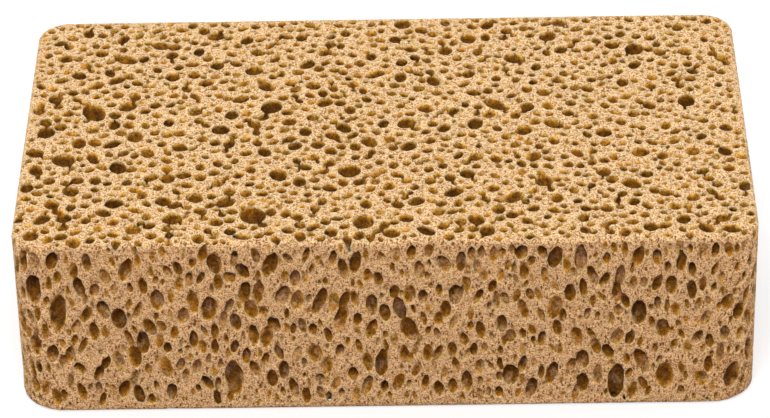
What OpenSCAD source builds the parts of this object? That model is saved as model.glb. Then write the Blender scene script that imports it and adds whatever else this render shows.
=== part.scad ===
// Cleaning sponge: one block of open-celled foam, sawn flat on all its faces, with four
// round upright corners. The saw opened the foam's cells, so every face is full of
// hollows. The cells are taller than they are wide, because they were stretched upwards
// as the foam rose: they show as ovals on the sides and as rounds on the top and below.

/* [Block] */
// Length of the block, from left to right
block_l = 200; // [170:1:220]
// Depth of the block, from front to back
block_d = 120; // [95:1:135]
// Thickness of the block
block_h = 54; // [40:1:62]
// Radius of the four upright corners
corner_r = 9; // [6:0.5:18]
// Softening of the long edges round the top and round the underside
edge_r = 1.6; // [0.8:0.1:3]

/* [Cells] */
// Distance between the middles of neighbouring cells
cell_pitch = 10.9; // [10.8:0.1:20]
// Width of the smallest cells
small_cell = 4; // [2.4:0.1:5]
// Width of the largest cells
large_cell = 8.8; // [7:0.1:10]
// Share of the cells that are large ones
large_share = 0.2; // [0:0.05:0.3]
// Height of a cell over its width, along the way the foam rose
rise_stretch = 1.45; // [1:0.05:1.6]
// Depth of a cell below the face, over its width
cell_depth = 0.9; // [0.4:0.05:1]
// Furthest that a cell strays from its place in the even pattern
cell_stray = 2.2; // [0:0.1:3]
// Least distance from the middle of a cell to the edges round its face
edge_keep = 4; // [3:0.1:6]
// Number that picks one scatter of the cells
scatter = 3; // [1:1:40]

/* [Hidden] */

// Colour of dry amber foam
foam_colour = "#d9ae76";
// Segments in a full turn of an upright corner
corner_segments = 32;
// Steps in the softening of an edge, as angles from the flat face to the side
edge_steps = [0, 45, 90];
// How much longer than wide the cells of the top and the underside are at the most
oval = 0.3;
// How far the mouth of a cell is drawn past the face, so that it opens cleanly
mouth_over = 0.6;
// Sides of a small cell's mouth and of a large cell's
small_sides = 6;
large_sides = 10;
// The smallest of the large cells over the largest
large_from = 0.78;
// The largest of the small cells over the smallest
small_to = 1.6;
// Steps of the rule that scatters the cells: far from whole turns, so neighbours differ
scatter_step = 78.233;
scatter_turn = 151.719;
scatter_gain = 43758.5453;

// A number from 0 to 1 that looks random and is the same in each build
function chance(place, use) =
    let (v = scatter_gain * sin(place * scatter_step + (use + scatter) * scatter_turn))
    v - floor(v);

// A shift of up to cell_stray either way
function stray(place, use) = cell_stray * (2 * chance(place, use) - 1);

// Whether the cell at this place is a large one, and its width
function is_large(place) = chance(place, 1) < large_share;
function width_of(place) =
    is_large(place)
    ? large_cell * (large_from + (1 - large_from) * chance(place, 2))
    : small_cell * (1 + (small_to - 1) * chance(place, 2));

// Straight stretches and the whole length of the block's outline, seen from above
straight_l = block_l - 2 * corner_r;
straight_d = block_d - 2 * corner_r;
bend = PI * corner_r / 2;
girth = 2 * (straight_l + straight_d + 2 * bend);

// Point and outward direction, as [x, y, angle], after a walk of s along the outline:
// a straight of length a, a corner, and then the same again a quarter turn on
function on_outline(s, a, b) =
    s < a ? [s - a / 2, -b / 2 - corner_r, -90] :
    s < a + bend ? let (t = 90 * (s - a) / bend)
        [a / 2 + corner_r * sin(t), -b / 2 - corner_r * cos(t), t - 90] :
    let (p = on_outline(s - a - bend, b, a)) [-p.y, p.x, p.z + 90];

// How far a point of the top lies inside the outline
function inside(x, y) =
    let (dx = abs(x) - straight_l / 2, dy = abs(y) - straight_d / 2)
    corner_r - (dx > 0 && dy > 0 ? norm([dx, dy]) : max(dx, dy));

// The sawn block before its cells are opened
module plain_block() {
    translate([0, 0, block_h / 2])
        hull()
            for (x = [-1, 1], y = [-1, 1], turn = edge_steps)
                translate([x * straight_l / 2, y * straight_d / 2, 0])
                    cylinder(
                        h = block_h - 2 * edge_r * (1 - cos(turn)),
                        r = corner_r - edge_r * (1 - sin(turn)),
                        center = true,
                        $fn = corner_segments
                    );
}

// One open cell: its mouth lies in the XY plane and its hollow hangs below. It is the
// space between two pits, one at each end of its height along Y
module cell(place, tall) {
    wide = width_of(place);
    deep = wide * cell_depth;
    hull()
        for (end = [-1, 1])
            translate([0, end * wide * (tall - 1) / 2, -deep])
                rotate(90)
                    cylinder(
                        h = deep + mouth_over,
                        r1 = 0,
                        r2 = wide / 2,
                        $fn = is_large(place) ? large_sides : small_sides
                    );
}

// Cells all the way round the four sides, corners included
module side_cells() {
    columns = floor(girth / cell_pitch);
    rows = floor(block_h / cell_pitch);
    tall = block_h - 2 * edge_keep;
    for (row = [0 : rows - 1], column = [0 : columns - 1]) {
        place = row * columns + column;
        s = (column + (row % 2) / 2) * girth / columns;
        p = on_outline(s, straight_l, straight_d);
        z = edge_keep + (row + 0.5) * tall / rows + stray(place, 3);
        translate([p.x, p.y, z])
            rotate([90, 0, p.z + 90])
                translate([stray(place, 4), 0, 0])
                    cell(place, rise_stretch);
    }
}

// Cells over one flat face, with the numbers of their places counted from start
module face_cells(start) {
    columns = floor(block_l / cell_pitch);
    rows = floor(block_d / cell_pitch);
    for (row = [0 : rows - 1], column = [0 : columns - 1]) {
        place = start + row * columns + column;
        along = (column + 0.25 + (row % 2) / 2) / columns - 0.5;
        across = (row + 0.5) / rows - 0.5;
        x = along * (block_l - 2 * edge_keep) + stray(place, 3);
        y = across * (block_d - 2 * edge_keep) + stray(place, 4);
        if (inside(x, y) > edge_keep)
            translate([x, y, 0])
                cell(place, 1 + oval * chance(place, 5));
    }
}

module sponge_block() {
    color(foam_colour)
        difference() {
            plain_block();
            side_cells();
            translate([0, 0, block_h])
                face_cells(1000);
            mirror([0, 0, 1])
                face_cells(2000);
        }
}

sponge_block();
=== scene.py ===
# A cleaning sponge: one sawn block of amber foam, full of open cells, on a pale floor.
import math

import bmesh
import bpy
import numpy as np
from mathutils import Matrix, Vector


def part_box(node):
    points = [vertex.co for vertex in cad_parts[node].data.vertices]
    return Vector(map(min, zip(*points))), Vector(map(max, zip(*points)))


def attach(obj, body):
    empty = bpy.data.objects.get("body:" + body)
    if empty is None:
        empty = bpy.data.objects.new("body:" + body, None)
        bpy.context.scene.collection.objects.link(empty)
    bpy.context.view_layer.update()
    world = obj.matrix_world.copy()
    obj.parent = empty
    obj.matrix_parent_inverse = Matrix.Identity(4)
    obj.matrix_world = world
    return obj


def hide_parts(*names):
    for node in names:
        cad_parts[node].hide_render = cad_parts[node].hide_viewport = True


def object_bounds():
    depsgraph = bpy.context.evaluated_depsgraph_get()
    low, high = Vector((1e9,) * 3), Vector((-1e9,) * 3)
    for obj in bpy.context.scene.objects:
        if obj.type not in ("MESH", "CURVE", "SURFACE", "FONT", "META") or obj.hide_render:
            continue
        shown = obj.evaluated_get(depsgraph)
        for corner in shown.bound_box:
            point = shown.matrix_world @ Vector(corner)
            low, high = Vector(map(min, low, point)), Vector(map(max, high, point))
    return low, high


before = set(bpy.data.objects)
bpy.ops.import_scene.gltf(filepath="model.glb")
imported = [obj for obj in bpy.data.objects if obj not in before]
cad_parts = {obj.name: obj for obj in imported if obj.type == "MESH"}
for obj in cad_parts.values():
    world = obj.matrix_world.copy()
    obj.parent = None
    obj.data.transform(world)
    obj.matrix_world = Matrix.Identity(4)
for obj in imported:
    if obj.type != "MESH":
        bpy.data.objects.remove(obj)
cad_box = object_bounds()


# Camera
# It stands in front of the block and looks down at it from far off, as the photograph
# does. Its place, turn and lens come from fitting the block's outline there.
MM = 0.001
CAMERA_DISTANCE = 1170 * MM
CAMERA_YAW = math.radians(0.695)
CAMERA_PITCH = math.radians(32.38)
CAMERA_ROLL = math.radians(-1.18)
CAMERA_AIM_RIGHT = -0.44 * MM
CAMERA_AIM_UP = -0.67 * MM
CAMERA_SENSOR = 36
CAMERA_LENS = 194.5


def place_camera(centre):
    back = Vector((
        math.sin(CAMERA_YAW) * math.cos(CAMERA_PITCH),
        -math.cos(CAMERA_YAW) * math.cos(CAMERA_PITCH),
        math.sin(CAMERA_PITCH),
    ))
    right = Vector((math.cos(CAMERA_YAW), math.sin(CAMERA_YAW), 0))
    up = back.cross(right)
    aim = centre + CAMERA_AIM_RIGHT * right + CAMERA_AIM_UP * up
    turn = Matrix((right, up, back)).transposed() @ Matrix.Rotation(CAMERA_ROLL, 3, "Z")
    camera = bpy.data.objects.new("camera", bpy.data.cameras.new("camera"))
    camera.data.sensor_width = CAMERA_SENSOR
    camera.data.lens = CAMERA_LENS
    camera.matrix_world = Matrix.Translation(aim + CAMERA_DISTANCE * back) @ turn.to_4x4()
    bpy.context.collection.objects.link(camera)
    bpy.context.scene.camera = camera


place_camera((Vector(cad_box[0]) + Vector(cad_box[1])) / 2)


# The sponge block
# One piece of open-celled polyurethane foam, sawn from a bun, with four round upright
# corners. The saw opened its cells, which are taller than wide, the way the foam rose.
BLOCK_NODE = "sponge_block"
# The upright corners are a little rounder at the foot, where the foam has been pressed
CORNER_RADIUS_TOP = 9 * MM
CORNER_RADIUS_FOOT = 12 * MM
CORNER_STEPS = 8
EDGE_SOFTNESS = 1.6 * MM
EDGE_STEPS = 3

block_low, block_high = (Vector(corner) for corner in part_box(BLOCK_NODE))
block_size = block_high - block_low


def sawn_block():
    """The block before its cells are opened: rings of points joined from foot to top."""
    build = bmesh.new()
    bends = [math.pi / 2 * step / EDGE_STEPS for step in range(EDGE_STEPS + 1)]
    foot = [(EDGE_SOFTNESS * (1 - math.sin(a)), EDGE_SOFTNESS * (1 - math.cos(a))) for a in bends]
    head = [(inset, block_size.z - height) for inset, height in reversed(foot)]
    rings = []
    for inset, height in foot + head:
        ring = []
        radius = CORNER_RADIUS_FOOT + (CORNER_RADIUS_TOP - CORNER_RADIUS_FOOT) * height / block_size.z
        for quarter, (side_x, side_y) in enumerate(((1, 1), (-1, 1), (-1, -1), (1, -1))):
            for step in range(CORNER_STEPS + 1):
                angle = math.pi / 2 * (quarter + step / CORNER_STEPS)
                ring.append(build.verts.new((
                    side_x * (block_size.x / 2 - radius) + (radius - inset) * math.cos(angle),
                    side_y * (block_size.y / 2 - radius) + (radius - inset) * math.sin(angle),
                    height,
                )))
        rings.append(ring)
    for lower, upper in zip(rings, rings[1:]):
        for i in range(len(lower)):
            j = (i + 1) % len(lower)
            build.faces.new((lower[i], lower[j], upper[j], upper[i]))
    build.faces.new(rings[0][::-1])
    build.faces.new(rings[-1])
    mesh = bpy.data.meshes.new("sawn_block")
    build.to_mesh(mesh)
    build.free()
    block = bpy.data.objects.new("sawn_block", mesh)
    bpy.context.collection.objects.link(block)
    return block


def face_depths(points):
    """How far each point lies below the nearest upright face, and below the top or foot."""
    rise = np.clip(points[:, 2:] / block_size.z, 0, 1)
    radius = CORNER_RADIUS_FOOT + (CORNER_RADIUS_TOP - CORNER_RADIUS_FOOT) * rise
    over = np.abs(points[:, :2]) - np.array(block_size[:2]) / 2 + radius
    past = np.linalg.norm(np.maximum(over, 0), axis=1) + np.minimum(over.max(axis=1), 0)
    level = block_size.z / 2 - np.abs(points[:, 2] - block_size.z / 2)
    return radius[:, 0] - past, level


def depth_inside(points):
    """How far each point lies below the sawn surface, soft edges too; negative outside."""
    short = EDGE_SOFTNESS - np.column_stack(face_depths(points))
    bent = np.linalg.norm(np.maximum(short, 0), axis=1)
    return EDGE_SOFTNESS - bent - np.minimum(short.max(axis=1), 0)


# Width, depth from front to back, and height of a cell, over its width
CELL_STRETCH = (1, 1.25, 2.05)
# The cells are placed from the largest to the smallest, each where it finds room: how
# many places are tried, the smallest and largest half widths, and the least and most
# room that a cell keeps from the ones before, over the sum of their half widths
CELL_SORTS = (
    (700, 2.2 * MM, 2.8 * MM, 2.2, 3.0),
    (9000, 1.6 * MM, 2.1 * MM, 1.05, 1.4),
    (160000, 1.1 * MM, 1.65 * MM, 0.84, 1.02),
    (260000, 0.75 * MM, 1.1 * MM, 0.84, 1.0),
    (220000, 0.48 * MM, 0.75 * MM, 0.9, 1.04),
)
CELLS_AT_MOST = 20000
CELL_SEED = 5
# How far outside the block's box the middle of a cell may lie
CELL_REACH = 2 * MM
# Above 1, the smaller cells of a sort are the more common ones
SMALL_CELL_BIAS = 1.5
# The saw opened wider cells on the top and the underside than on the sides
WIDER_LEVEL = 1.2
# Least distance from the middle of a cell to the edges round the top and the underside,
# over its half width: a cell nearer than that would tear the edge out. Round the front
# half of the top the edge is a little more torn
EDGE_KEPT = 1.5
EDGE_KEPT_FRONT = 1.0
# How far at the most the middle of a cell lies outside and inside the sawn face, over
# its half size
CELL_OUT = 0.5
CELL_IN = 0.45
# The foam is coarser towards the left and the front, and in patches: how much, how wide
# the patches are, and the directions of the three waves that make them
COARSER_LEFT = 0.1
COARSER_FRONT = 0.08
COARSER_PATCH = 0.1
PATCH_WIDTH = 45 * MM
PATCH_WAVES = ((0.8, 0.5, -0.3), (-0.4, 0.9, 0.2), (0.1, -0.3, 1.0))


def coarseness(points):
    """How coarse the foam is at each point, over its usual grain."""
    waves = np.array(PATCH_WAVES) * math.tau / PATCH_WIDTH
    patches = np.sin(points @ waves.T + np.arange(len(waves))).sum(axis=1) / len(waves)
    left = COARSER_LEFT * points[:, 0] / block_low.x
    front = COARSER_FRONT * points[:, 1] / block_low.y
    return 1 + left + front + COARSER_PATCH * patches


def find_cells():
    """Middles and half widths of the cells that the saw opened."""
    rng = np.random.default_rng(CELL_SEED)
    reach = Vector((CELL_REACH, CELL_REACH, CELL_REACH))
    found = np.zeros((CELLS_AT_MOST, 4))
    count = 0
    for tries, smallest, largest, least_room, most_room in CELL_SORTS:
        places = rng.uniform(block_low - reach, block_high + reach, (tries, 3))
        spread = rng.random(tries) ** SMALL_CELL_BIAS
        sizes = (smallest + (largest - smallest) * spread) * coarseness(places)
        rooms = rng.uniform(least_room, most_room, tries)
        beside, level = face_depths(places)
        sizes[level < beside] *= WIDER_LEVEL
        half_sizes = np.where(level < beside, CELL_STRETCH[2] * sizes, sizes)
        deep = depth_inside(places) / half_sizes
        front = (places[:, 1] < 0) & (places[:, 2] > block_size.z / 2)
        kept = np.where(front, EDGE_KEPT_FRONT, EDGE_KEPT)
        torn = np.hypot(beside, level / CELL_STRETCH[2]) < kept * sizes
        opened = (deep > -CELL_OUT) & (deep < CELL_IN) & ~torn
        for place, size, room in zip(places[opened], sizes[opened], rooms[opened]):
            apart = (found[:count, :3] - place) / CELL_STRETCH
            if np.all((apart ** 2).sum(axis=1) > (room * (found[:count, 3] + size)) ** 2):
                found[count] = (*place, size)
                count += 1
    return found[:count]


# Least and most of a cell's sides, over those of the usual cell of its half width
CELL_SPREAD = ((0.8, 0.82, 0.78), (1.08, 1.14, 1.22))
# Spread of the lean of a cell's long axis and of its turn, in radians
CELL_LEAN = 0.2
CELL_TURN = 0.5


def cell_points(cells):
    """A mesh of loose points, one for each cell, with its half sizes and its lean."""
    rng = np.random.default_rng(CELL_SEED)
    count = len(cells)
    mesh = bpy.data.meshes.new("cell_points")
    mesh.from_pydata(cells[:, :3].tolist(), [], [])
    size = cells[:, 3:] * CELL_STRETCH * rng.uniform(*CELL_SPREAD, (count, 3))
    turn = rng.normal(0, (CELL_LEAN, CELL_LEAN, CELL_TURN), (count, 3))
    for name, values in (("cell_size", size), ("cell_turn", turn)):
        layer = mesh.attributes.new(name, "FLOAT_VECTOR", "POINT")
        layer.data.foreach_set("vector", values.astype(np.float32).ravel())
    points = bpy.data.objects.new("cell_points", mesh)
    bpy.context.collection.objects.link(points)
    return points


def add_node(tree, kind, inputs=(), **settings):
    """Adds a node, gives it its settings, and sets or links its inputs."""
    node = tree.nodes.new(kind)
    for name, value in settings.items():
        setattr(node, name, value)
    for name, value in dict(inputs).items():
        if isinstance(value, bpy.types.NodeSocket):
            tree.links.new(value, node.inputs[name])
        else:
            node.inputs[name].default_value = value
    return node


# Detail of a cell, by its half width: up to this size, segments round it and rings
CELL_DETAIL = (
    (1.0 * MM, 8, 5),
    (1.5 * MM, 10, 6),
    (9 * MM, 12, 7),
)
# How many lumpy shapes there are of each detail, how lumpy they are over their half
# width, and how the lumps turn over a ball of radius 1
CELL_SHAPES = 4
CELL_LUMPS = 0.4
LUMP_NOISE = {"Scale": 1.1, "Detail": 1.0}


def cell_cutting_tree(foam):
    """Geometry Nodes that cut lumpy egg-shaped cells out of the sawn block."""
    tree = bpy.data.node_groups.new("open_cells", "GeometryNodeTree")
    for name, side, kind in (
        ("Block", "INPUT", "NodeSocketGeometry"),
        ("Cells", "INPUT", "NodeSocketObject"),
        ("Lumps", "INPUT", "NodeSocketFloat"),
        ("Foam", "OUTPUT", "NodeSocketGeometry"),
    ):
        tree.interface.new_socket(name, in_out=side, socket_type=kind)
    given = add_node(tree, "NodeGroupInput")
    source = add_node(tree, "GeometryNodeObjectInfo", {"Object": given.outputs["Cells"]})
    points = add_node(tree, "GeometryNodeMeshToPoints", {"Mesh": source.outputs["Geometry"]})
    size = add_node(tree, "GeometryNodeInputNamedAttribute", {"Name": "cell_size"},
                    data_type="FLOAT_VECTOR")
    turn = add_node(tree, "GeometryNodeInputNamedAttribute", {"Name": "cell_turn"},
                    data_type="FLOAT_VECTOR")
    turned = add_node(tree, "FunctionNodeEulerToRotation", {"Euler": turn.outputs["Attribute"]})
    width = add_node(tree, "ShaderNodeSeparateXYZ", {"Vector": size.outputs["Attribute"]})
    index = add_node(tree, "GeometryNodeInputIndex")
    cells = add_node(tree, "GeometryNodeJoinGeometry")
    smallest = 0.0
    for largest, segments, rings in CELL_DETAIL:
        over = add_node(tree, "FunctionNodeCompare", {"A": width.outputs["X"], "B": smallest},
                        data_type="FLOAT", operation="GREATER_EQUAL")
        under = add_node(tree, "FunctionNodeCompare", {"A": width.outputs["X"], "B": largest},
                         data_type="FLOAT", operation="LESS_THAN")
        chosen = add_node(tree, "FunctionNodeBooleanMath",
                          {0: over.outputs[0], 1: under.outputs[0]})
        shapes = add_node(tree, "GeometryNodeJoinGeometry")
        for shape in range(CELL_SHAPES):
            ball = add_node(tree, "GeometryNodeMeshUVSphere",
                            {"Segments": segments, "Rings": rings, "Radius": 1.0})
            noise = add_node(tree, "ShaderNodeTexNoise",
                             {"W": float(shape + segments), **LUMP_NOISE}, noise_dimensions="4D")
            middle = add_node(tree, "ShaderNodeVectorMath",
                              {0: noise.outputs["Color"], 1: (0.5, 0.5, 0.5)},
                              operation="SUBTRACT")
            lumps = add_node(tree, "ShaderNodeVectorMath",
                             {0: middle.outputs[0], "Scale": given.outputs["Lumps"]},
                             operation="SCALE")
            egg = add_node(tree, "GeometryNodeSetPosition",
                           {"Geometry": ball.outputs["Mesh"], "Offset": lumps.outputs[0]})
            single = add_node(tree, "GeometryNodeGeometryToInstance",
                              {"Geometry": egg.outputs["Geometry"]})
            tree.links.new(single.outputs[0], shapes.inputs[0])
        placed = add_node(tree, "GeometryNodeInstanceOnPoints", {
            "Points": points.outputs["Points"], "Selection": chosen.outputs[0],
            "Instance": shapes.outputs[0], "Pick Instance": True,
            "Instance Index": index.outputs[0], "Rotation": turned.outputs[0],
            "Scale": size.outputs["Attribute"],
        })
        tree.links.new(placed.outputs[0], cells.inputs[0])
        smallest = largest
    cut = add_node(tree, "GeometryNodeMeshBoolean",
                   {"Mesh 1": given.outputs["Block"], "Mesh 2": cells.outputs[0]},
                   operation="DIFFERENCE", solver="MANIFOLD")
    real = add_node(tree, "GeometryNodeRealizeInstances", {"Geometry": cut.outputs["Mesh"]})
    faced = add_node(tree, "GeometryNodeSetMaterial",
                     {"Geometry": real.outputs[0], "Material": foam})
    add_node(tree, "NodeGroupOutput", {"Foam": faced.outputs[0]})
    return tree


def linear(hex_colour):
    """A colour written as sRGB hex, as the linear values that the nodes take."""
    parts = [int(hex_colour[i:i + 2], 16) / 255 for i in (1, 3, 5)]
    return (*[p / 12.92 if p <= 0.04045 else ((p + 0.055) / 1.055) ** 2.4 for p in parts], 1)


# Stands for a face that is too far off to matter, in millimetres
FAR = 1000.0


def sawn_depth(tree, mm):
    """The depth below the sawn surface, as depth_inside gives it but in millimetres, and a
    value of 1 where an upright face is the nearest."""
    height = add_node(tree, "ShaderNodeSeparateXYZ", {0: mm})
    radius = add_node(tree, "ShaderNodeMapRange", {
        "Value": height.outputs["Z"], "From Min": 0.0, "From Max": block_size.z / MM,
        "To Min": CORNER_RADIUS_FOOT / MM, "To Max": CORNER_RADIUS_TOP / MM})
    away = add_node(tree, "ShaderNodeVectorMath", {0: mm}, operation="ABSOLUTE")
    half = (block_size.x / 2 / MM, block_size.y / 2 / MM, FAR)
    short = add_node(tree, "ShaderNodeVectorMath", {0: away.outputs[0], 1: half},
                     operation="SUBTRACT")
    bend = add_node(tree, "ShaderNodeCombineXYZ", {"X": radius.outputs[0], "Y": radius.outputs[0]})
    over = add_node(tree, "ShaderNodeVectorMath", {0: short.outputs[0], 1: bend.outputs[0]},
                    operation="ADD")
    past = add_node(tree, "ShaderNodeVectorMath", {0: over.outputs[0], 1: (0, 0, 0)},
                    operation="MAXIMUM")
    outer = add_node(tree, "ShaderNodeVectorMath", {0: past.outputs[0]}, operation="LENGTH")
    overs = add_node(tree, "ShaderNodeSeparateXYZ", {0: over.outputs[0]})
    larger = add_node(tree, "ShaderNodeMath", {0: overs.outputs["X"], 1: overs.outputs["Y"]},
                      operation="MAXIMUM")
    inner = add_node(tree, "ShaderNodeMath", {0: larger.outputs[0], 1: 0.0}, operation="MINIMUM")
    total = add_node(tree, "ShaderNodeMath", {0: outer.outputs["Value"], 1: inner.outputs[0]},
                     operation="ADD")
    beside = add_node(tree, "ShaderNodeMath", {0: radius.outputs[0], 1: total.outputs[0]},
                      operation="SUBTRACT")
    from_top = add_node(tree, "ShaderNodeMath", {0: block_size.z / MM, 1: height.outputs["Z"]},
                        operation="SUBTRACT")
    level = add_node(tree, "ShaderNodeMath", {0: height.outputs["Z"], 1: from_top.outputs[0]},
                     operation="MINIMUM")
    pair = add_node(tree, "ShaderNodeCombineXYZ",
                    {"X": beside.outputs[0], "Y": level.outputs[0], "Z": FAR})
    soft = EDGE_SOFTNESS / MM
    near = add_node(tree, "ShaderNodeVectorMath", {0: (soft, soft, 0), 1: pair.outputs[0]},
                    operation="SUBTRACT")
    nearer = add_node(tree, "ShaderNodeVectorMath", {0: near.outputs[0], 1: (0, 0, 0)},
                      operation="MAXIMUM")
    rounded = add_node(tree, "ShaderNodeVectorMath", {0: nearer.outputs[0]}, operation="LENGTH")
    nears = add_node(tree, "ShaderNodeSeparateXYZ", {0: near.outputs[0]})
    nearest = add_node(tree, "ShaderNodeMath", {0: nears.outputs["X"], 1: nears.outputs["Y"]},
                       operation="MAXIMUM")
    deeper = add_node(tree, "ShaderNodeMath", {0: nearest.outputs[0], 1: 0.0}, operation="MINIMUM")
    taken = add_node(tree, "ShaderNodeMath", {0: rounded.outputs["Value"], 1: deeper.outputs[0]},
                     operation="ADD")
    depth = add_node(tree, "ShaderNodeMath", {0: soft, 1: taken.outputs[0]}, operation="SUBTRACT")
    upright = add_node(tree, "ShaderNodeMath", {0: beside.outputs[0], 1: level.outputs[0]},
                       operation="LESS_THAN")
    return depth.outputs[0], upright.outputs[0]


# Patterns of the foam. A scale is how often a pattern comes in a millimetre. The real
# grain is about 0.1 mm wide, too fine to show, so it is drawn as coarse as it needs to
# show, at 0.4 mm, and the ribs and the streaks of the cells' walls at 1 and 1.5 mm
GRAIN = {"Scale": 2.3, "Detail": 2.0, "Roughness": 0.85}
RIBS = {"Scale": 1.0, "Detail": 3.0, "Roughness": 0.8}
STREAKS = {"Scale": 0.65, "Detail": 4.0, "Roughness": 0.9}
PATCHES = {"Scale": 0.3, "Detail": 2.0}
SWELL = {"Scale": 0.22, "Detail": 1.0}
# The finest open cells: one in each 0.9 mm of width, and up to 0.7 mm wide. Their half
# widths and the blend at their rims are shares of the distance between them
PITS = {"Scale": 1.15}
PIT_HALF_WIDTHS = {"To Min": 0.04, "To Max": 0.38}
PIT_RIM = {"From Min": -0.04, "From Max": 0.12}
# Colour of the pits: painted shade, dark where the light doesn't reach into them
PIT_SHADE_COLOUR = "#85501c"
# How much the ribs count beside the grain on the sawn face, and the face's colours, by
# the sum of the two
RIB_SHARE = 0.7
SKIN_COLOURS = ((0.745, "#9c6230"), (0.9, "#fbd49f"))
# Colours down a cell's wall, by their share of the depth at which it is darkest: the
# foam's own amber, with a lighter lip and painted shade that deepens down the cell
WALL_SHADE_DEPTH = 1.9 * MM
WALL_COLOURS_AND_SHADE = (
    (0.0, "#f0c88c"),
    (0.2, "#d3a152"),
    (0.4, "#b17c28"),
    (0.65, "#935f08"),
    (1.0, "#744702"),
)
# How fast the painted shade deepens, in patches: in some cells it darkens fast, in others
# the wall stays pale
WALL_SHADE_RATE = {"From Min": 0.36, "From Max": 0.64, "To Min": 1.5, "To Max": 0.55}
# How much the streaks count beside the grain, and how light their sum makes the wall
STREAK_SHARE = 1.6
WALL_TONE = {"From Min": 1.14, "From Max": 1.44, "To Min": 0.4, "To Max": 1.5}
# Slight changes of hue from cell to cell, from greener to redder
HUE_SPAN = {"From Min": 0.42, "From Max": 0.6}
GREENER = (0.97, 1.01, 0.95, 1)
REDDER = (1.03, 0.98, 0.9, 1)
# The thin film that still closes some cells of the sides: its colour, its most share in
# the wall's, and where it is found
FILM_COLOUR = "#a98a74"
FILM_SHARE = 0.5
FILM_SPAN = {"From Min": 0.48, "From Max": 0.64, "To Min": 0.0}
# Depths in millimetres between which the sawn face goes over into the wall
INSIDE = {"From Min": 0.05, "From Max": 0.5}
# The pale rim of a cell, a painted highlight: how far it is rounded over, its colour, the
# cosines of the turn at which it starts and is full, its most share, and the depths in
# millimetres over which it ends
RIM_SOFTNESS = 0.8 * MM
RIM_SAMPLES = 6
RIM_HIGHLIGHT_COLOUR = "#ffe6b8"
RIM_HIGHLIGHT_TURN = {"From Min": 0.99, "From Max": 0.85, "To Min": 0.0, "To Max": 0.35}
RIM_HIGHLIGHT_END = {"From Min": 0.4, "From Max": 0.8, "To Min": 1.0, "To Max": 0.0}
# Heights in millimetres of the grain, the pits and the swelling of the foam, and of the
# lip that turns over into a cell, by its depth
GRAIN_HEIGHT = 0.7
PIT_HEIGHT = 0.35
SWELL_HEIGHT = 1.6
GRAIN_FADE = {"From Min": 0.1, "From Max": 0.6, "To Min": 1.0, "To Max": 0.9}
LIP = {"From Min": 0.0, "From Max": 1.2, "To Min": 0.0, "To Max": 0.9}
RELIEF = 0.9
# Dry foam is matt, and lets light a little way in, the red furthest
FOAM_ROUGHNESS = 0.9
FOAM_SPECULAR = 0.25
LIGHT_INSIDE = 0.25
LIGHT_COLOURS = (1.0, 0.6, 0.25)
LIGHT_REACH = 1.5 * MM


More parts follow.
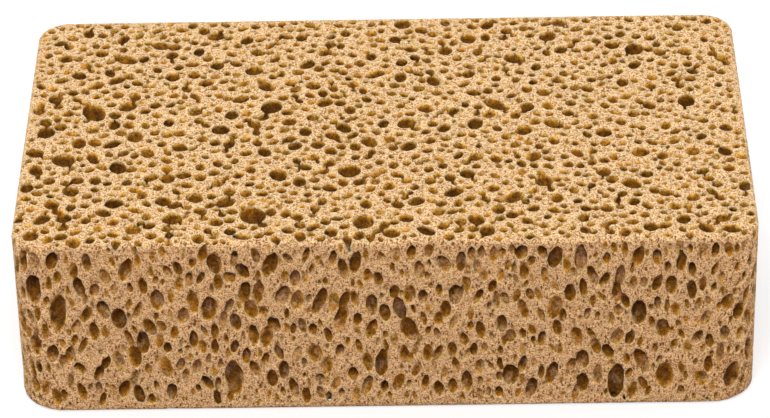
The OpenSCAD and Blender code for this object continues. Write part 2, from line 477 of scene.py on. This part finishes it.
def sawn_foam():
    """Polyurethane foam, foamed amber and sawn dry: pale and grainy where the saw went,
    golden and then dark brown down in the cells as painted shade, with painted pale rims."""
    material = bpy.data.materials.new("sawn_amber_foam")
    material.use_nodes = True
    tree = material.node_tree
    shader = tree.nodes["Principled BSDF"]
    place = add_node(tree, "ShaderNodeTexCoord")
    scaled = add_node(tree, "ShaderNodeVectorMath",
                      {0: place.outputs["Object"], "Scale": 1 / MM}, operation="SCALE")
    mm = scaled.outputs[0]
    depth, upright = sawn_depth(tree, mm)
    grain = add_node(tree, "ShaderNodeTexNoise", {"Vector": mm, **GRAIN})
    ribs = add_node(tree, "ShaderNodeTexNoise", {"Vector": mm, **RIBS})
    streaks = add_node(tree, "ShaderNodeTexNoise", {"Vector": mm, **STREAKS})
    patches = add_node(tree, "ShaderNodeTexNoise", {"Vector": mm, **PATCHES})

    # The finest cells, cut through by the saw: each is a small pit, painted dark as shade
    squat = add_node(tree, "ShaderNodeVectorMath",
                     {0: mm, 1: [1 / side for side in CELL_STRETCH]}, operation="MULTIPLY")
    pit = add_node(tree, "ShaderNodeTexVoronoi", {"Vector": squat.outputs[0], **PITS})
    chance = add_node(tree, "ShaderNodeSeparateXYZ", {0: pit.outputs["Color"]})
    pit_edge = add_node(tree, "ShaderNodeMapRange",
                        {"Value": chance.outputs["X"], **PIT_HALF_WIDTHS})
    pit_in = add_node(tree, "ShaderNodeMath", {0: pit_edge.outputs[0], 1: pit.outputs["Distance"]},
                      operation="SUBTRACT")
    pits = add_node(tree, "ShaderNodeMapRange", {"Value": pit_in.outputs[0], **PIT_RIM})

    # The sawn face: pale, with brown specks in clusters, and the pits in painted shade
    specks = add_node(tree, "ShaderNodeMath",
                      {0: ribs.outputs["Fac"], 1: RIB_SHARE, 2: grain.outputs["Fac"]},
                      operation="MULTIPLY_ADD")
    skin = add_node(tree, "ShaderNodeValToRGB", {"Fac": specks.outputs[0]})
    skin_and_pit_shade = add_node(tree, "ShaderNodeMix", {
        "Factor": pits.outputs[0], "A": skin.outputs["Color"], "B": linear(PIT_SHADE_COLOUR)},
        data_type="RGBA")

    # The wall of a cell: pale at its lip and brown further down, in painted shade that
    # deepens with depth, streaked and mottled
    # Painted shade: the wall's colour darkens with its depth below the sawn face
    down = add_node(tree, "ShaderNodeMath", {0: depth, 1: WALL_SHADE_DEPTH / MM}, operation="DIVIDE")
    shade_rate = add_node(tree, "ShaderNodeMapRange",
                         {"Value": patches.outputs["Fac"], **WALL_SHADE_RATE})
    shade_depth = add_node(tree, "ShaderNodeMath", {0: down.outputs[0], 1: shade_rate.outputs[0]},
                    operation="MULTIPLY")
    shaded_wall = add_node(tree, "ShaderNodeValToRGB", {"Fac": shade_depth.outputs[0]})
    for ramp, stops in ((skin.color_ramp, SKIN_COLOURS), (shaded_wall.color_ramp, WALL_COLOURS_AND_SHADE)):
        ramp.elements.remove(ramp.elements[1])
        for share, colour in stops[1:]:
            ramp.elements.new(share).color = linear(colour)
        ramp.elements[0].position = stops[0][0]
        ramp.elements[0].color = linear(stops[0][1])
    film_most = add_node(tree, "ShaderNodeMath", {0: upright, 1: FILM_SHARE},
                         operation="MULTIPLY")
    film = add_node(tree, "ShaderNodeMapRange", {
        "Value": patches.outputs["Fac"], "To Max": film_most.outputs[0], **FILM_SPAN})
    filmed = add_node(tree, "ShaderNodeMix", {
        "Factor": film.outputs[0], "A": shaded_wall.outputs["Color"], "B": linear(FILM_COLOUR)},
        data_type="RGBA")
    hues = add_node(tree, "ShaderNodeSeparateXYZ", {"Vector": patches.outputs["Color"]})
    redder = add_node(tree, "ShaderNodeMapRange", {"Value": hues.outputs["Y"], **HUE_SPAN})
    hue = add_node(tree, "ShaderNodeMix", {"Factor": redder.outputs[0], "A": GREENER, "B": REDDER},
                   data_type="RGBA")
    hued = add_node(tree, "ShaderNodeVectorMath",
                    {0: filmed.outputs["Result"], 1: hue.outputs["Result"]},
                    operation="MULTIPLY")
    mottle = add_node(tree, "ShaderNodeMath",
                      {0: streaks.outputs["Fac"], 1: STREAK_SHARE, 2: grain.outputs["Fac"]},
                      operation="MULTIPLY_ADD")
    tone = add_node(tree, "ShaderNodeMapRange", {"Value": mottle.outputs[0], **WALL_TONE})
    toned = add_node(tree, "ShaderNodeVectorMath", {0: hued.outputs[0], "Scale": tone.outputs[0]},
                     operation="SCALE")
    inside = add_node(tree, "ShaderNodeMapRange", {"Value": depth, **INSIDE})
    colour = add_node(tree, "ShaderNodeMix", {
        "Factor": inside.outputs[0], "A": skin_and_pit_shade.outputs["Result"], "B": toned.outputs[0]},
        data_type="RGBA")

    # The rims are painted pale: a painted highlight along the rounded lips of the cells
    soft_rim = add_node(tree, "ShaderNodeBevel", {"Radius": RIM_SOFTNESS}, samples=RIM_SAMPLES)
    true_face = add_node(tree, "ShaderNodeNewGeometry")
    facing = add_node(tree, "ShaderNodeVectorMath",
                      {0: soft_rim.outputs[0], 1: true_face.outputs["Normal"]},
                      operation="DOT_PRODUCT")
    rim = add_node(tree, "ShaderNodeMapRange", {"Value": facing.outputs["Value"], **RIM_HIGHLIGHT_TURN})
    shallow = add_node(tree, "ShaderNodeMapRange", {"Value": depth, **RIM_HIGHLIGHT_END})
    rim_highlight_mask = add_node(tree, "ShaderNodeMath", {0: rim.outputs[0], 1: shallow.outputs[0]},
                        operation="MULTIPLY")
    rim_highlighted = add_node(tree, "ShaderNodeMix", {
        "Factor": rim_highlight_mask.outputs[0], "A": colour.outputs["Result"], "B": linear(RIM_HIGHLIGHT_COLOUR)},
        data_type="RGBA")
    tree.links.new(rim_highlighted.outputs["Result"], shader.inputs["Base Color"])

    # Relief: the grain less the pits, the swelling of the foam, and the lips of the cells
    grain_up = add_node(tree, "ShaderNodeMath", {0: grain.outputs["Fac"], 1: GRAIN_HEIGHT},
                        operation="MULTIPLY")
    pit_down = add_node(tree, "ShaderNodeMath", {0: pits.outputs[0], 1: PIT_HEIGHT},
                        operation="MULTIPLY")
    fine = add_node(tree, "ShaderNodeMath", {0: grain_up.outputs[0], 1: pit_down.outputs[0]},
                    operation="SUBTRACT")
    fade = add_node(tree, "ShaderNodeMapRange", {"Value": depth, **GRAIN_FADE})
    faded = add_node(tree, "ShaderNodeMath", {0: fine.outputs[0], 1: fade.outputs[0]},
                     operation="MULTIPLY")
    swell = add_node(tree, "ShaderNodeTexNoise", {"Vector": mm, **SWELL})
    swelled = add_node(tree, "ShaderNodeMath",
                       {0: swell.outputs["Fac"], 1: SWELL_HEIGHT, 2: faded.outputs[0]},
                       operation="MULTIPLY_ADD")
    lip = add_node(tree, "ShaderNodeMapRange", {"Value": depth, **LIP},
                   interpolation_type="SMOOTHSTEP")
    heights = add_node(tree, "ShaderNodeMath", {0: swelled.outputs[0], 1: lip.outputs[0]},
                       operation="ADD")
    bump = add_node(tree, "ShaderNodeBump", {
        "Height": heights.outputs[0], "Distance": MM, "Strength": RELIEF,
        "Normal": soft_rim.outputs[0]})
    tree.links.new(bump.outputs[0], shader.inputs["Normal"])
    shader.inputs["Roughness"].default_value = FOAM_ROUGHNESS
    shader.inputs["Specular IOR Level"].default_value = FOAM_SPECULAR
    shader.inputs["Subsurface Weight"].default_value = LIGHT_INSIDE
    shader.inputs["Subsurface Radius"].default_value = LIGHT_COLOURS
    shader.inputs["Subsurface Scale"].default_value = LIGHT_REACH
    return material


def set_input(modifier, tree, name, value):
    sockets = {item.name: item.identifier for item in tree.interface.items_tree
               if item.in_out == "INPUT"}
    modifier[sockets[name]] = value


def evaluated_mesh(owner):
    graph = bpy.context.evaluated_depsgraph_get()
    return bpy.data.meshes.new_from_object(owner.evaluated_get(graph), depsgraph=graph)


# Triangles that stay after the thinning
TRIANGLES_KEPT = 196000
# A point this near the sawn surface belongs to it, not to the cell below
SKIN_BAND = 0.03 * MM
# Least angle between two walls that shows as an edge
RIM_ANGLE = math.radians(75)


def mend_shell(build):
    """Takes away the flaps and the pinched edges that the thinning left."""
    while True:
        flaps = [face for face in build.faces if any(edge.is_boundary for edge in face.edges)
                 and sum(not edge.is_manifold for edge in face.edges) > 1]
        if not flaps:
            break
        bmesh.ops.delete(build, geom=flaps, context="FACES")
    pinches = [edge for edge in build.edges if len(edge.link_faces) > 2]
    bmesh.ops.collapse(build, edges=pinches)
    bare = [edge for edge in build.edges if edge.is_wire]
    bmesh.ops.delete(build, geom=bare, context="EDGES")
    loose = [corner for corner in build.verts if not corner.link_edges]
    bmesh.ops.delete(build, geom=loose, context="VERTS")


def shade_shell(build):
    """Shades the cells smooth, with sharp rims where they meet the sawn face or each other."""
    build.verts.index_update()
    corners = np.array([corner.co for corner in build.verts])
    on_skin = np.abs(depth_inside(corners)) < SKIN_BAND
    for face in build.faces:
        face.smooth = True
        face.tag = all(on_skin[corner.index] for corner in face.verts)
    for edge in build.edges:
        sides = {face.tag for face in edge.link_faces}
        edge.smooth = len(sides) == 1 and edge.calc_face_angle(0) < RIM_ANGLE


def make_sponge():
    foam = sawn_foam()
    block = sawn_block()
    points = cell_points(find_cells())
    tree = cell_cutting_tree(foam)
    modifier = block.modifiers.new("open_cells", "NODES")
    modifier.node_group = tree
    set_input(modifier, tree, "Cells", points)
    set_input(modifier, tree, "Lumps", CELL_LUMPS)
    sponge = bpy.data.objects.new("foam_block", evaluated_mesh(block))
    bpy.context.collection.objects.link(sponge)
    bpy.data.objects.remove(block)
    bpy.data.objects.remove(points)
    sponge.data.calc_loop_triangles()
    thin = sponge.modifiers.new("thin", "DECIMATE")
    thin.ratio = min(1, TRIANGLES_KEPT / len(sponge.data.loop_triangles))
    thin.use_collapse_triangulate = True
    sponge.data = evaluated_mesh(sponge)
    sponge.modifiers.clear()
    build = bmesh.new()
    build.from_mesh(sponge.data)
    mend_shell(build)
    shade_shell(build)
    build.to_mesh(sponge.data)
    build.free()
    return sponge


sponge = make_sponge()
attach(sponge, "root")
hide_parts(BLOCK_NODE)


# Floor
# A plain sheet of smooth white paper, laid flat under the sponge. Paper is matt, so the
# eye sees an even white with the sponge's soft shadow and no gloss.
FLOOR_SIZE = 6.0
FLOOR_WHITE = "#f4f4f4"
FLOOR_ROUGHNESS = 0.9
# What it throws back at the sponge is less, as from a sheet that ends beyond the view
FLOOR_BOUNCE = "#a68876"
# How far it is lifted from its shaded colour to white
FLOOR_LIFT = 0.6
WHITE = (1, 1, 1, 1)


def seen_by_eye(tree):
    """1 for a ray that the eye sees, straight, by a reflection or through glass, or else 0."""
    path = add_node(tree, "ShaderNodeLightPath")
    either = add_node(tree, "ShaderNodeMath", {
        0: path.outputs["Is Camera Ray"], 1: path.outputs["Is Glossy Ray"]}, operation="MAXIMUM")
    seen = add_node(tree, "ShaderNodeMath", {
        0: either.outputs[0], 1: path.outputs["Is Transmission Ray"]}, operation="MAXIMUM")
    return seen.outputs[0]


def make_floor():
    half = FLOOR_SIZE / 2
    corners = [(-half, -half, 0), (half, -half, 0), (half, half, 0), (-half, half, 0)]
    mesh = bpy.data.meshes.new("floor")
    mesh.from_pydata(corners, [], [(0, 1, 2, 3)])
    material = bpy.data.materials.new("white_paper")
    material.use_nodes = True
    tree = material.node_tree
    shader = tree.nodes["Principled BSDF"]
    eye = seen_by_eye(tree)
    paper = add_node(tree, "ShaderNodeMix", {
        "Factor": eye, "A": linear(FLOOR_BOUNCE), "B": linear(FLOOR_WHITE)}, data_type="RGBA")
    tree.links.new(paper.outputs["Result"], shader.inputs["Base Color"])
    shader.inputs["Roughness"].default_value = FLOOR_ROUGHNESS
    white = add_node(tree, "ShaderNodeEmission", {"Color": WHITE, "Strength": 1.0})
    lift = add_node(tree, "ShaderNodeMath", {0: eye, 1: FLOOR_LIFT}, operation="MULTIPLY")
    mix = add_node(tree, "ShaderNodeMixShader",
                   {0: lift.outputs[0], 1: shader.outputs[0], 2: white.outputs[0]})
    tree.links.new(mix.outputs[0], tree.nodes["Material Output"].inputs["Surface"])
    mesh.materials.append(material)
    floor = bpy.data.objects.new("floor", mesh)
    bpy.context.collection.objects.link(floor)
    return floor


floor = make_floor()


# Light
# A large soft key lamp stands high in front, with a weaker lamp at each side and one
# behind, all aimed at the block. The sky is even and low, and the eye sees it white.
SKY_STRENGTH = 0.26
# Name, place and side in metres, and power in watts of each square lamp
LAMPS = (
    ("key", (-0.09, -0.93, 1.29), 0.6, 22.8),
    ("left", (-0.62, 0.05, 0.35), 0.3, 1.5),
    ("right", (0.62, 0.05, 0.35), 0.3, 1.5),
    ("back", (0.0, 0.6, 0.36), 0.3, 2.1),
)


def place_lights(centre):
    world = bpy.data.worlds.new("studio")
    bpy.context.scene.world = world
    world.use_nodes = True
    tree = world.node_tree
    sky = tree.nodes["Background"]
    sky.inputs["Color"].default_value = WHITE
    sky.inputs["Strength"].default_value = SKY_STRENGTH
    white = add_node(tree, "ShaderNodeBackground", {"Color": WHITE, "Strength": 1.0})
    mix = add_node(tree, "ShaderNodeMixShader",
                   {0: seen_by_eye(tree), 1: sky.outputs[0], 2: white.outputs[0]})
    tree.links.new(mix.outputs[0], tree.nodes["World Output"].inputs["Surface"])
    for name, where, side, power in LAMPS:
        lamp = bpy.data.lights.new(name, "AREA")
        lamp.size = side
        lamp.energy = power
        holder = bpy.data.objects.new(name, lamp)
        holder.location = where
        aim = (centre - Vector(where)).to_track_quat("-Z", "Y")
        holder.rotation_euler = aim.to_euler()
        bpy.context.collection.objects.link(holder)


place_lights((block_low + block_high) / 2)

bpy.context.scene.view_settings.view_transform = "Standard"
